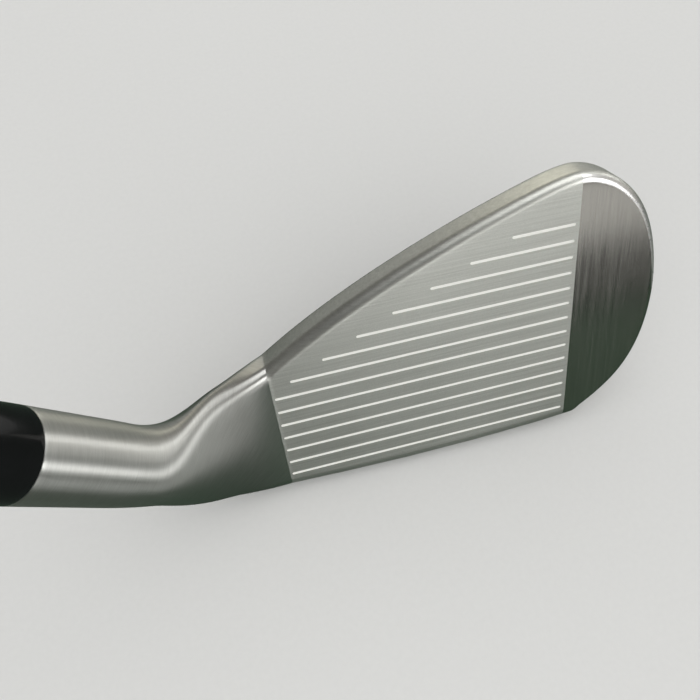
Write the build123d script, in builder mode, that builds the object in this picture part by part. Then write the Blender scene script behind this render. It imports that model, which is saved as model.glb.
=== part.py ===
from build123d import *
import os
from math import cos, radians, sin

# An iron golf club for a left-handed player, standing at address on the ground plane z = 0.
# +X runs from the heel to the toe, +Y from the face to the back, and +Z is up.
# The origin is the point where the shaft axis meets the ground.

# ---------------------------------------------------------------- driving dimensions, in millimetres
CLUB_LENGTH = 940.0  # along the shaft axis, from the ground to the top of the grip cap
LIE = 62.0  # degrees between the shaft axis and the ground
LOFT = 34.0  # degrees between the face and the vertical

FACE_FOOT_Y = -3.56  # the foot of the face plane, a little behind the front of the hosel
FACE_FOOT_Z = 2.4  # its height above the ground
TOE_MARK_X = 63.2  # the toe ends of the score lines
LINE_LENGTH = 57.4  # of a full score line
LINE_PITCH = 3.21
LINE_COUNT = 14
FULL_LINES = 7
LINE_FOOT = 3.47  # from the foot of the face to the lowest line
LINE_WIDTH = 0.76
LINE_DEPTH = 0.4
SHORT_LENGTH = 54.0  # of the lowest line that the top line shortens
SHORT_STEP = 6.33  # each line above it is this much shorter
SHORT_CURVE = 0.125  # and shorter still by this, times the square of the count

TOP_THICKNESS = 6.0
FACE_THICKNESS = 3.0
LEADING_EDGE = 1.2  # how far up the face its rounding under the face starts
LEADING_BULGE = (0.2, -0.3)  # the middle of that rounding, from the foot of the face
LEADING_END = (1.3, -1.15)  # where the rounding meets the sole
SOLE_BACK_Y = 16.0
SOLE_BACK_Z = 3.0
SOLE_LOW_Y = 4.6
SOLE_HEEL_Z = 1.6  # the sole's height at the heel
SOLE_LOWEST = (34.0, -0.1)  # the lowest point of the sole from heel to toe, as (x, z)
MUSCLE_TOP = 18.0  # how far up the face the thick lower part of the back reaches
MUSCLE_STEP = 2.6  # how much thicker than the top line the muscle is
MUSCLE_SLOPE = 4.0  # how far up the face the muscle takes to thin down
MUSCLE_LIP = 1.0
HEEL_X = 5.5  # where the blade ends and the neck begins
TOE_FOOT_X = 66.5  # where the sole turns up into the toe
TOE_REACH = 82.6  # clear of the farthest point of the toe

HOSEL_TOP = 60.2  # along the shaft axis from the ground
HOSEL_RADIUS = 6.5
BORE_RADIUS = 4.85
BORE_DEPTH = 28.0
NECK_TOP = 44.0  # along the shaft axis: above it the hosel is a plain tube
NECK_END_RADIUS = 6.4  # just inside the tube, so that the two join cleanly

SHAFT_TIP_RADIUS = 4.7
SHAFT_BUTT_RADIUS = 7.62
SHAFT_TIP_WALL = 0.75
SHAFT_BUTT_WALL = 0.38
FIRST_STEP = 230.0  # along the shaft axis
STEP_SPACING = 33.0
STEP_COUNT = 13
STEP_RAMP = 1.2

FERRULE_LENGTH = 25.0
FERRULE_TOP_RADIUS = 5.35
FERRULE_CHAMFER = 0.4
TIP_WEIGHT_LENGTH = 24.0

GRIP_LENGTH = 267.0  # with its cap
GRIP_MOUTH_RADIUS = 8.9
GRIP_BUTT_RADIUS = 13.1
GRIP_WAIST = 40.0  # from the cap down to where the flared butt turns into the taper
GRIP_WAIST_RADIUS = 11.9
GRIP_LIP = 1.2
CAP_THICKNESS = 3.0
CAP_DOME = 0.8
CAP_EDGE = 2.0  # how far in the rounded edge of the cap reaches
FIT_GAP = 0.02  # between turned parts that slide together
VENT_RADIUS = 1.5
TAPE_THICKNESS = 0.25
LABEL_THICKNESS = 0.12
LABEL_LENGTH = 24.0
LABEL_GAP = 8.0  # between the label and the mouth of the grip

CAVITY_RIM = 5.0
CAVITY_FLOOR = 19.5  # how far up the face the cavity starts
CAVITY_HEEL_X = 14.0
CAVITY_HEEL_TOP = 28.0
CAVITY_PEAK = (64.0, 48.6)
CAVITY_TOE_TUCK = 3.0  # how much farther in from the toe the cavity's floor ends
BADGE_THICKNESS = 0.8
GLUE_THICKNESS = 0.2
BADGE_GAP = 1.2  # from the badge to the walls of the cavity

WEIGHT_RADIUS = 3.6
WEIGHT_DEPTH = 7.0
WEIGHT_X = 64.0
WEIGHT_CHAMFER = 0.3
TIP_CHAMFER = 0.5

# ---------------------------------------------------------------- frames
lie = radians(LIE)
tilt = radians(LOFT)
SHAFT_DIRECTION = Vector(-cos(lie), 0, sin(lie))
shaft_axis = Axis((0, 0, 0), SHAFT_DIRECTION)
# In this plane x is the distance from the shaft axis and y is the distance along it.
shaft_section = Plane(origin=(0, 0, 0), x_dir=(sin(lie), 0, cos(lie)), z_dir=(0, -1, 0))
# In this plane x is the distance from the origin towards the toe and y runs up the face.
face_plane = Plane(
    origin=(0, FACE_FOOT_Y, FACE_FOOT_Z), x_dir=(1, 0, 0), z_dir=(0, -cos(tilt), sin(tilt))
)
FAR = 60.0  # longer than any cut needs to be


def at_shaft(distance):
    """The plane square to the shaft axis at this distance from the ground."""
    return Plane(origin=SHAFT_DIRECTION * distance, x_dir=(0, 1, 0), z_dir=SHAFT_DIRECTION)


def face_to_side(up, behind):
    """The (y, z) of a point this far up the face and this far behind it."""
    return (
        FACE_FOOT_Y + up * sin(tilt) + behind * cos(tilt),
        FACE_FOOT_Z + up * cos(tilt) - behind * sin(tilt),
    )


# ---------------------------------------------------------------- the blade's three outlines
# Points of the blade's edge on the face plane: x towards the toe, y up the face.
TOP_LINE = [(HEEL_X, 29.5), (33.2, 44.1), (55.7, 52.4), (64.5, 54.3)]
TOE_CURVE = [(64.5, 54.3), (74.7, 48.9), (80.3, 36.8), (81.2, 24.0), (76.6, 9.8), (66.5, 1.2)]

# The toe's underside seen from the front, as (x, z).
TOE_UNDERSIDE = [(TOE_FOOT_X, 1.8), (76.6, 9.7), (TOE_REACH, 23.5)]
# The corners of the muscle seen from the side, as (y, z).
MUSCLE_LOW_CORNER = (SOLE_BACK_Y + MUSCLE_LIP, SOLE_BACK_Z + 2 * MUSCLE_LIP)
MUSCLE_HIGH_CORNER = face_to_side(MUSCLE_TOP, TOP_THICKNESS + MUSCLE_STEP)

# ---------------------------------------------------------------- head: hosel, neck and blade in one forging
# The neck turns about a line above the crotch, from the blade's section to the hosel's circle.
PIVOT_X = HEEL_X
PIVOT_Z = NECK_TOP * sin(lie) + (HEEL_X + NECK_TOP * cos(lie)) / sin(lie) * cos(lie)
HOSEL_REACH = (HEEL_X + NECK_TOP * cos(lie)) / sin(lie)  # from the pivot to the shaft axis

# Each section lists the front, from the sole up, and then the back, from the top down, as
# (y, height) pairs, where the height is from the pivot line.
BLADE_SECTION = [
    (-2.0, -49.7),
    (1.0, -44.9),
    (5.0, -38.0),
    (9.7, -31.6),
    (13.0, -27.3),
    (17.1, -29.9),
    (14.3, -33.8),
    (13.3, -39.6),
    (15.4, -44.8),
    (16.1, -48.7),
    (9.0, -50.8),
    (1.1, -50.7),
]
LOW_NECK_SECTION = [
    (-3.7, -46.6),
    (-3.4, -41.5),
    (-0.6, -35.8),
    (4.0, -30.6),
    (8.4, -26.9),
    (12.0, -27.6),
    (12.2, -32.0),
    (11.3, -36.5),
    (11.6, -41.0),
    (11.0, -45.4),
    (6.0, -48.0),
    (0.2, -48.3),
]
HIGH_NECK_SECTION = [
    (-4.4, -37.2),
    (-5.8, -33.0),
    (-5.0, -29.0),
    (-2.2, -26.2),
    (1.4, -24.9),
    (4.6, -25.6),
    (6.6, -28.3),
    (7.2, -31.7),
    (6.7, -35.0),
    (4.7, -37.9),
    (1.4, -39.1),
    (-1.9, -38.9),
]
FRONT_LOW_ANGLE = 218.0  # where the first point of the hosel's circle is, from +Y towards the pivot
SECTION_POINTS = len(BLADE_SECTION)
LOW_NECK_ANGLE = 20.0
HIGH_NECK_ANGLE = 41.0
NECK_SECTIONS = 9


def neck_plane(angle):
    """The section plane through the pivot line, turned by this many degrees towards the hosel."""
    turn = radians(angle)
    return Plane(
        origin=(PIVOT_X, 0, PIVOT_Z), x_dir=(0, 1, 0), z_dir=(cos(turn), 0, -sin(turn))
    )


def hosel_section():
    """Points of the hosel's circle, in the order of the neck's other sections."""
    points = []
    for i in range(SECTION_POINTS):
        a = radians(FRONT_LOW_ANGLE - 360.0 * i / SECTION_POINTS)
        points.append((NECK_END_RADIUS * cos(a), NECK_END_RADIUS * sin(a) - HOSEL_REACH))
    return points


NECK_KEYS = [
    (0.0, BLADE_SECTION),
    (LOW_NECK_ANGLE, LOW_NECK_SECTION),
    (HIGH_NECK_ANGLE, HIGH_NECK_SECTION),
    (LIE, hosel_section()),
]


def hermite(t, start, end, start_slope, end_slope):
    """The cubic from start to end with these slopes, as t goes from 0 to 1."""
    rise = t * t * (3 - 2 * t)
    return (
        start
        + (end - start) * rise
        + start_slope * t * (1 - t) ** 2
        - end_slope * t * t * (1 - t)
    )


def neck_section(angle):
    """The neck's section at this angle: a smooth passage through the key sections."""
    k = 0
    while k < len(NECK_KEYS) - 2 and angle > NECK_KEYS[k + 1][0]:
        k += 1

    def slope(key, point, axis):
        if key == len(NECK_KEYS) - 1:
            return 0.0
        low = max(key - 1, 0)
        run = NECK_KEYS[key + 1][0] - NECK_KEYS[low][0]
        return (NECK_KEYS[key + 1][1][point][axis] - NECK_KEYS[low][1][point][axis]) / run

    start_angle, start = NECK_KEYS[k]
    end_angle, end = NECK_KEYS[k + 1]
    run = end_angle - start_angle
    t = (angle - start_angle) / run
    return [
        tuple(
            hermite(t, start[i][j], end[i][j], slope(k, i, j) * run, slope(k + 1, i, j) * run)
            for j in range(2)
        )
        for i in range(SECTION_POINTS)
    ]


with BuildPart() as blade:
    with BuildSketch(face_plane):
        with BuildLine():
            top_line = Spline(*TOP_LINE, tangents=[(0.83, 0.56), (1, 0.05)])
            toe_line = Spline(*TOE_CURVE, tangents=[(1, -0.05), (-0.86, -0.5)])
            Polyline(toe_line @ 1, (TOE_FOOT_X, -FAR), (HEEL_X, -FAR), top_line @ 0)
        make_face()
    extrude(amount=-FAR)
    # The same edge seen from the front keeps the toe's underside level, not sloping with the face.
    with BuildSketch(Plane.XZ):
        with BuildLine():
            underside = Spline(*TOE_UNDERSIDE, tangents=[(1, 0.32), (0, 1)])
            sole = ThreePointArc((HEEL_X, SOLE_HEEL_Z), SOLE_LOWEST, underside @ 0)
            Polyline(sole @ 0, (HEEL_X, FAR), (TOE_REACH, FAR), underside @ 1)
        make_face()
    extrude(amount=-FAR, both=True, mode=Mode.INTERSECT)
    # The side section: the face, the top line's thickness, the muscle, and the cambered sole.
    with BuildSketch(Plane.YZ):
        with BuildLine():
            foot = Vector(FACE_FOOT_Y, FACE_FOOT_Z)
            lead = face_to_side(LEADING_EDGE, 0)
            under = foot + Vector(*LEADING_END)
            sole_back = (SOLE_BACK_Y, SOLE_BACK_Z)
            ThreePointArc(lead, foot + Vector(*LEADING_BULGE), under)
            ThreePointArc(under, (SOLE_LOW_Y, 0), sole_back)
            Polyline(
                sole_back,
                MUSCLE_LOW_CORNER,
                MUSCLE_HIGH_CORNER,
                face_to_side(MUSCLE_TOP + MUSCLE_SLOPE, TOP_THICKNESS),
                face_to_side(FAR, TOP_THICKNESS),
                face_to_side(FAR, 0),
                lead,
            )
        make_face()
    extrude(amount=2 * FAR, mode=Mode.INTERSECT)


def draw_section(points):
    """A smooth closed section through these points, in two splines that meet at its two ends."""
    top = SECTION_POINTS // 2 - 1
    ends = []
    for i in (0, top):
        before = Vector(*points[i - 1])
        ends.append(Vector(*points[i + 1]) - before)
    Spline(*points[: top + 1], tangents=ends)
    Spline(*points[top:], points[0], tangents=reversed(ends))


with BuildPart() as neck:
    for i in range(NECK_SECTIONS):
        angle = LIE * i / (NECK_SECTIONS - 1)
        with BuildSketch(neck_plane(angle)):
            with BuildLine():
                draw_section(neck_section(angle))
            make_face()
    loft()


def cavity_edge(inset=0.0):
    """The closed outline of the cavity, pulled in by this much, in the face plane's coordinates."""
    floor = CAVITY_FLOOR + inset
    heel_x = CAVITY_HEEL_X + inset
    peak_x, peak_y = CAVITY_PEAK
    drop = CAVITY_RIM + inset
    with BuildLine() as edge:
        heel = Line((heel_x, floor), (heel_x, CAVITY_HEEL_TOP - inset / 2))
        top = Spline(
            heel @ 1,
            *[(x, y - drop) for x, y in TOP_LINE[1:3]],
            (peak_x, peak_y - inset),
            tangents=[(0.8, 0.6), (1, 0)],
        )
        toe = Spline(
            top @ 1,
            (TOE_CURVE[2][0] - drop, TOE_CURVE[2][1]),
            (TOE_CURVE[3][0] - drop - CAVITY_TOE_TUCK, floor),
            tangents=[(1, 0), (-0.35, -1)],
        )
        Line(toe @ 1, heel @ 0)
    return edge


# The weight is pressed square into the sloping back of the muscle.
muscle_low = Vector(0, *MUSCLE_LOW_CORNER)
muscle_high = Vector(0, *MUSCLE_HIGH_CORNER)
weight_plane = Plane(
    origin=(muscle_low + muscle_high) / 2 + Vector(WEIGHT_X, 0, 0),
    x_dir=(1, 0, 0),
    z_dir=(muscle_low - muscle_high).cross(Vector(-1, 0, 0)),
)

with BuildPart() as head_body:
    add(blade.part)
    add(neck.part)
    with BuildSketch(at_shaft(NECK_TOP)):
        Circle(HOSEL_RADIUS)
    extrude(amount=HOSEL_TOP - NECK_TOP)
    # The bore for the shaft.
    with BuildSketch(at_shaft(HOSEL_TOP - BORE_DEPTH)):
        Circle(BORE_RADIUS)
    extrude(amount=BORE_DEPTH + 1.0, mode=Mode.SUBTRACT)
    # The score lines.
    with BuildSketch(face_plane):
        for i in range(LINE_COUNT):
            above = i - FULL_LINES
            length = LINE_LENGTH
            if above >= 0:
                length = SHORT_LENGTH - SHORT_STEP * above - SHORT_CURVE * above**2
            with Locations((TOE_MARK_X - length / 2, LINE_FOOT + LINE_PITCH * i)):
                SlotOverall(length, LINE_WIDTH)
    extrude(amount=-LINE_DEPTH, mode=Mode.SUBTRACT)
    # The cavity in the back, and the pocket for the weight.
    with BuildSketch(face_plane.offset(-FACE_THICKNESS)):
        with BuildLine():
            add(cavity_edge().line)
        make_face()
    extrude(amount=-FAR, mode=Mode.SUBTRACT)
    with BuildSketch(weight_plane):
        Circle(WEIGHT_RADIUS)
    extrude(amount=-WEIGHT_DEPTH, mode=Mode.SUBTRACT)
head_body.part.label = "head_body"

# ---------------------------------------------------------------- trim of the head
with BuildPart() as badge_adhesive:
    with BuildSketch(face_plane.offset(-FACE_THICKNESS)):
        with BuildLine():
            add(cavity_edge(BADGE_GAP).line)
        make_face()
    extrude(amount=-GLUE_THICKNESS)
badge_adhesive.part.label = "badge_adhesive"

with BuildPart() as cavity_badge:
    with BuildSketch(face_plane.offset(-FACE_THICKNESS - GLUE_THICKNESS)):
        with BuildLine():
            add(cavity_edge(BADGE_GAP).line)
        make_face()
    extrude(amount=-BADGE_THICKNESS)
cavity_badge.part.label = "cavity_badge"

with BuildPart() as toe_weight:
    with BuildSketch(weight_plane):
        Circle(WEIGHT_RADIUS - FIT_GAP)
    extrude(amount=-WEIGHT_DEPTH)
    chamfer(toe_weight.faces().sort_by(Axis.Y)[-1].edges(), WEIGHT_CHAMFER)
toe_weight.part.label = "toe_weight"

# ---------------------------------------------------------------- turned parts on the shaft axis
SHAFT_BOTTOM = HOSEL_TOP - BORE_DEPTH
CAP_SEAM = CLUB_LENGTH - CAP_THICKNESS
GRIP_MOUTH = CLUB_LENGTH - GRIP_LENGTH
TAPE_RADIUS = SHAFT_BUTT_RADIUS + TAPE_THICKNESS


def tube_outline(outer, inner):
    """The closed half section of a turned part, from its outer and inner (radius, height) points."""
    Polyline(*outer, *reversed(inner), close=True)


def step_radius(step):
    """The shaft's outer radius after this many steps."""
    return SHAFT_TIP_RADIUS + (SHAFT_BUTT_RADIUS - SHAFT_TIP_RADIUS) * step / STEP_COUNT


def step_wall(step):
    """The shaft's wall after this many steps."""
    return SHAFT_TIP_WALL + (SHAFT_BUTT_WALL - SHAFT_TIP_WALL) * step / STEP_COUNT


shaft_outer = [(SHAFT_TIP_RADIUS, SHAFT_BOTTOM)]
shaft_inner = [(SHAFT_TIP_RADIUS - SHAFT_TIP_WALL, SHAFT_BOTTOM)]
for step in range(STEP_COUNT):
    height = FIRST_STEP + STEP_SPACING * step
    for passed, rise in ((step, 0.0), (step + 1, STEP_RAMP)):
        shaft_outer.append((step_radius(passed), height + rise))
        shaft_inner.append((step_radius(passed) - step_wall(passed), height + rise))
shaft_outer.append((SHAFT_BUTT_RADIUS, CAP_SEAM))
shaft_inner.append((SHAFT_BUTT_RADIUS - SHAFT_BUTT_WALL, CAP_SEAM))

with BuildPart() as shaft:
    with BuildSketch(shaft_section):
        with BuildLine():
            tube_outline(shaft_outer, shaft_inner)
        make_face()
    revolve(axis=shaft_axis)
shaft.part.label = "shaft"

with BuildPart() as hosel_epoxy:
    with BuildSketch(at_shaft(SHAFT_BOTTOM)):
        Circle(BORE_RADIUS)
        Circle(SHAFT_TIP_RADIUS, mode=Mode.SUBTRACT)
    extrude(amount=BORE_DEPTH)
hosel_epoxy.part.label = "hosel_epoxy"

with BuildPart() as tip_weight:
    with BuildSketch(at_shaft(SHAFT_BOTTOM)):
        Circle(SHAFT_TIP_RADIUS - SHAFT_TIP_WALL - FIT_GAP)
    extrude(amount=TIP_WEIGHT_LENGTH)
    chamfer(tip_weight.edges().filter_by(GeomType.CIRCLE), TIP_CHAMFER)
tip_weight.part.label = "tip_weight"

with BuildPart() as ferrule:
    with BuildSketch(shaft_section):
        with BuildLine():
            ferrule_top = HOSEL_TOP + FERRULE_LENGTH
            side = Spline(
                (HOSEL_RADIUS, HOSEL_TOP),
                (FERRULE_TOP_RADIUS, ferrule_top - FERRULE_CHAMFER),
                tangents=[(0, 1), (-0.08, 1)],
            )
            Polyline(
                side @ 1,
                (FERRULE_TOP_RADIUS - FERRULE_CHAMFER, ferrule_top),
                (SHAFT_TIP_RADIUS, ferrule_top),
                (SHAFT_TIP_RADIUS, HOSEL_TOP),
                side @ 0,
            )
        make_face()
    revolve(axis=shaft_axis)
ferrule.part.label = "ferrule"

with BuildPart() as shaft_label:
    with BuildSketch(at_shaft(GRIP_MOUTH - LABEL_GAP - LABEL_LENGTH)):
        Circle(SHAFT_BUTT_RADIUS + LABEL_THICKNESS)
        Circle(SHAFT_BUTT_RADIUS, mode=Mode.SUBTRACT)
    extrude(amount=LABEL_LENGTH)
shaft_label.part.label = "shaft_label"

# ---------------------------------------------------------------- grip
with BuildPart() as grip_tape:
    with BuildSketch(at_shaft(GRIP_MOUTH + LABEL_GAP)):
        Circle(TAPE_RADIUS)
        Circle(SHAFT_BUTT_RADIUS, mode=Mode.SUBTRACT)
    extrude(amount=CAP_SEAM - GRIP_MOUTH - LABEL_GAP)
grip_tape.part.label = "grip_tape"

with BuildPart() as grip_sleeve:
    with BuildSketch(shaft_section):
        with BuildLine():
            waist = (GRIP_WAIST_RADIUS, CAP_SEAM - GRIP_WAIST)
            lip = ThreePointArc(
                (GRIP_MOUTH_RADIUS - GRIP_LIP, GRIP_MOUTH),
                (GRIP_MOUTH_RADIUS - GRIP_LIP * 0.3, GRIP_MOUTH + GRIP_LIP * 0.3),
                (GRIP_MOUTH_RADIUS, GRIP_MOUTH + GRIP_LIP),
            )
            taper = Line(lip @ 1, waist)
            flare = Spline(waist, (GRIP_BUTT_RADIUS, CAP_SEAM), tangents=[taper % 1, (0.02, 1)])
            Polyline(
                flare @ 1,
                (TAPE_RADIUS, CAP_SEAM),
                (TAPE_RADIUS, GRIP_MOUTH + LABEL_GAP),
                (SHAFT_BUTT_RADIUS, GRIP_MOUTH + LABEL_GAP),
                (SHAFT_BUTT_RADIUS, GRIP_MOUTH),
                lip @ 0,
            )
        make_face()
    revolve(axis=shaft_axis)
grip_sleeve.part.label = "grip_sleeve"

with BuildPart() as grip_cap:
    with BuildSketch(shaft_section):
        with BuildLine():
            edge = ThreePointArc(
                (GRIP_BUTT_RADIUS, CAP_SEAM),
                (GRIP_BUTT_RADIUS - 0.3 * CAP_EDGE, (CAP_SEAM + CLUB_LENGTH) / 2),
                (GRIP_BUTT_RADIUS - CAP_EDGE, CLUB_LENGTH - CAP_DOME),
            )
            crown = ThreePointArc(
                edge @ 1,
                (GRIP_BUTT_RADIUS / 2, CLUB_LENGTH - 0.2 * CAP_DOME),
                (VENT_RADIUS, CLUB_LENGTH),
            )
            Polyline(crown @ 1, (VENT_RADIUS, CAP_SEAM), edge @ 0)
        make_face()
    revolve(axis=shaft_axis)
grip_cap.part.label = "grip_cap"

# ---------------------------------------------------------------- one file for each piece
os.makedirs("parts", exist_ok=True)
for piece in (
    head_body,
    toe_weight,
    badge_adhesive,
    cavity_badge,
    hosel_epoxy,
    tip_weight,
    ferrule,
    shaft,
    shaft_label,
    grip_tape,
    grip_sleeve,
    grip_cap,
):
    export_step(piece.part, f"parts/{piece.part.label}.step")
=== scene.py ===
import math

import bmesh
import bpy
import numpy as np
from mathutils import Matrix, Vector


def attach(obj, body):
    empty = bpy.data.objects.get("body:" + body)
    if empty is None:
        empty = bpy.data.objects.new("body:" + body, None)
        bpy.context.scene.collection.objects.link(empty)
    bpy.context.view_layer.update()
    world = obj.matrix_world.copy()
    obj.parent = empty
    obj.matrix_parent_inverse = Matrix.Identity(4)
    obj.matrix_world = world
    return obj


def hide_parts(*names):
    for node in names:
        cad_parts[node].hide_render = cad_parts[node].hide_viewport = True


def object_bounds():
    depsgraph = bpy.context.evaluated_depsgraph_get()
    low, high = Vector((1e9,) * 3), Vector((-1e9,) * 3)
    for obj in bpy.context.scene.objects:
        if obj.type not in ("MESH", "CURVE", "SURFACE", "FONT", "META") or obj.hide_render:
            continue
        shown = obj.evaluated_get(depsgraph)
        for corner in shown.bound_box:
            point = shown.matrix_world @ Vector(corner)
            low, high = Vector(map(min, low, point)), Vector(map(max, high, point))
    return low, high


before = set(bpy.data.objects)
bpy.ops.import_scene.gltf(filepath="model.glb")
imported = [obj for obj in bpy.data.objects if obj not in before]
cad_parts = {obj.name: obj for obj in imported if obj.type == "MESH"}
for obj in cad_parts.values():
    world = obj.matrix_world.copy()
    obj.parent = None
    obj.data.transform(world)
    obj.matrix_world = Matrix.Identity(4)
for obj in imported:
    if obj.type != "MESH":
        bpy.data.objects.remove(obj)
cad_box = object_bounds()

# ---------------------------------------------------------------- dimensions, in millimetres
MM = 0.001
LIE = math.radians(62.0)
LOFT = math.radians(34.0)
SIN_L, COS_L = math.sin(LOFT), math.cos(LOFT)
FOOT_Y, FOOT_Z = -3.56, 2.4  # where the face plane meets the leading edge
HEEL_X = 5.5  # where the blade ends and the neck begins
TOE_LINE_X = 64.3  # where the polished toe begins
TOE_MARK_X = 63.2  # the toe ends of the score lines
TOP_LINE = [(5.5, 29.5), (33.2, 44.1), (55.7, 52.4), (64.5, 54.3)]
TOE_CURVE = [(64.5, 54.3), (74.7, 48.9), (80.3, 36.8), (81.2, 24.0), (76.6, 9.8), (66.5, 1.2)]
TOE_UNDERSIDE = [(66.5, 1.8), (76.6, 9.7), (82.6, 23.5)]
TOP_END_X = 64.5  # where the top line passes into the toe's curve
SOLE_END_X = 66.5  # where the sole turns up into the toe
NECK_WEST_X = -16.0  # where the neck's finish begins to soften
# Heights along the shaft's axis, from the point where it meets the ground.
NECK_TOP = 44.0
HOSEL_TOP = 60.2
FERRULE_TOP = HOSEL_TOP + 25.0
SHAFT_BOTTOM = HOSEL_TOP - 28.0
CLUB_LENGTH = 940.0
CAP_SEAM = CLUB_LENGTH - 3.0
GRIP_MOUTH = CLUB_LENGTH - 267.0
BAND_LOW, BAND_LENGTH = GRIP_MOUTH - 32.0, 24.0
# Radii of the turned pieces.
HOSEL_RADIUS = 6.5
BORE_RADIUS = 4.9
TIP_RADIUS, BUTT_RADIUS = 4.7, 7.62  # the shaft's thin and thick ends

# The neck bends round a line along Y at the blade's heel end: its distance from the axis, and its height.
HOSEL_REACH = (HEEL_X + NECK_TOP * math.cos(LIE)) / math.sin(LIE)
PIVOT_Z = NECK_TOP * math.sin(LIE) + HOSEL_REACH * math.cos(LIE)

AXIS = Vector((-math.cos(LIE), 0, math.sin(LIE)))  # up the shaft
ACROSS = Vector((math.sin(LIE), 0, math.cos(LIE)))  # square to the shaft, towards the toe
FACE_UP = (0, SIN_L, COS_L)  # up the face
FACE_OUT = (0, -COS_L, SIN_L)  # out of the face


# ---------------------------------------------------------------- curves
def cubic(p0, p1, m0, m1, s, run=1.0):
    """Points at s from 0 to 1 along the cubic from p0 to p1, with these slopes over a run of this length."""
    return (
        (2 * s**3 - 3 * s**2 + 1) * p0
        + (s**3 - 2 * s**2 + s) * run * m0
        + (3 * s**2 - 2 * s**3) * p1
        + (s**3 - s**2) * run * m1
    )


def clamped_spline(points, start, end, count):
    """Points along the cubic through these points, with these end directions."""
    p = np.array(points, float)
    h = np.linalg.norm(np.diff(p, axis=0), axis=1)
    n = len(p)
    a = np.zeros((n, n))
    b = np.zeros((n, p.shape[1]))
    a[0, 0] = a[-1, -1] = 1
    b[0] = np.array(start) / np.linalg.norm(start)
    b[-1] = np.array(end) / np.linalg.norm(end)
    for i in range(1, n - 1):
        a[i, i - 1], a[i, i], a[i, i + 1] = h[i], 2 * (h[i] + h[i - 1]), h[i - 1]
        b[i] = 3 * (h[i] * (p[i] - p[i - 1]) / h[i - 1] + h[i - 1] * (p[i + 1] - p[i]) / h[i])
    m = np.linalg.solve(a, b)
    knots = np.concatenate([[0], np.cumsum(h)])
    t = np.linspace(0, knots[-1], count)
    k = np.clip(np.searchsorted(knots, t, side="right") - 1, 0, n - 2)
    s = ((t - knots[k]) / h[k])[:, None]
    return cubic(p[k], p[k + 1], m[k], m[k + 1], s, h[k][:, None])


def closed_spline(points, t):
    """The periodic cubic through these points, at these values of the point index."""
    p = np.array(points, float)
    n = len(p)
    a = 4 * np.eye(n) + np.roll(np.eye(n), 1, 1) + np.roll(np.eye(n), -1, 1)
    b = 3 * (np.roll(p, -1, 0) - np.roll(p, 1, 0))
    m = np.linalg.solve(a, b)
    k = np.floor(t).astype(int)
    s = (t - k)[:, None]
    i, j = k % n, (k + 1) % n
    return cubic(p[i], p[j], m[i], m[j], s)


def ease(t):
    """A smooth passage from 0 to 1."""
    t = np.clip(t, 0.0, 1.0)
    return t * t * (3 - 2 * t)


def soft_max(a, b, width):
    """The larger of two values, with the change between them rounded over this width."""
    return 0.5 * (a + b + np.sqrt((a - b) ** 2 + width**2))


def arc3(a, b, c, count):
    """Points on the circle arc from a through b to c."""
    (ax, ay), (bx, by), (cx, cy) = a, b, c
    d = 2 * (ax * (by - cy) + bx * (cy - ay) + cx * (ay - by))
    ux = ((ax**2 + ay**2) * (by - cy) + (bx**2 + by**2) * (cy - ay) + (cx**2 + cy**2) * (ay - by)) / d
    uy = ((ax**2 + ay**2) * (cx - bx) + (bx**2 + by**2) * (ax - cx) + (cx**2 + cy**2) * (bx - ax)) / d
    r = math.hypot(ax - ux, ay - uy)
    t = [math.atan2(p[1] - uy, p[0] - ux) for p in (a, b, c)]
    for i in (1, 2):
        while t[i] - t[i - 1] > math.pi:
            t[i] -= 2 * math.pi
        while t[i] - t[i - 1] < -math.pi:
            t[i] += 2 * math.pi
    s = np.linspace(t[0], t[2], count)
    return np.stack([ux + r * np.cos(s), uy + r * np.sin(s)], 1)


# ---------------------------------------------------------------- mesh helpers
def make_object(name, verts, faces, uvs=None, slots=None, materials=(), sharp=40.0):
    """A mesh object from points in millimetres, with smooth faces and sharp edges over this angle."""
    mesh = bpy.data.meshes.new(name)
    mesh.from_pydata((np.array(verts) * MM).tolist(), [], [list(map(int, f)) for f in faces])
    for m in materials:
        mesh.materials.append(m)
    if slots is not None:
        mesh.polygons.foreach_set("material_index", np.array(slots, np.int32))
    if uvs is not None:
        layer = mesh.uv_layers.new(name="UVMap")
        layer.data.foreach_set("uv", np.array(uvs, np.float32).reshape(-1))
    mesh.validate()
    mesh.shade_smooth()
    mesh.set_sharp_from_angle(angle=math.radians(sharp))
    obj = bpy.data.objects.new(name, mesh)
    bpy.context.scene.collection.objects.link(obj)
    return obj


def grid_faces(rows, columns):
    """Quads of a grid whose rows are loops, and their corners as (row, column) with no wrap."""
    faces, corners = [], []
    for i in range(rows - 1):
        for j in range(columns):
            k = (j + 1) % columns
            faces.append((i * columns + j, i * columns + k, (i + 1) * columns + k, (i + 1) * columns + j))
            corners.append(((i, j), (i, j + 1), (i + 1, j + 1), (i + 1, j)))
    return faces, corners


def at_shaft(radius, angle, along):
    """A point on the shaft's frame: the angle turns from +Y towards the toe side."""
    side = Vector((0, 1, 0)) * math.cos(angle) + ACROSS * math.sin(angle)
    return AXIS * along + side * radius


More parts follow.
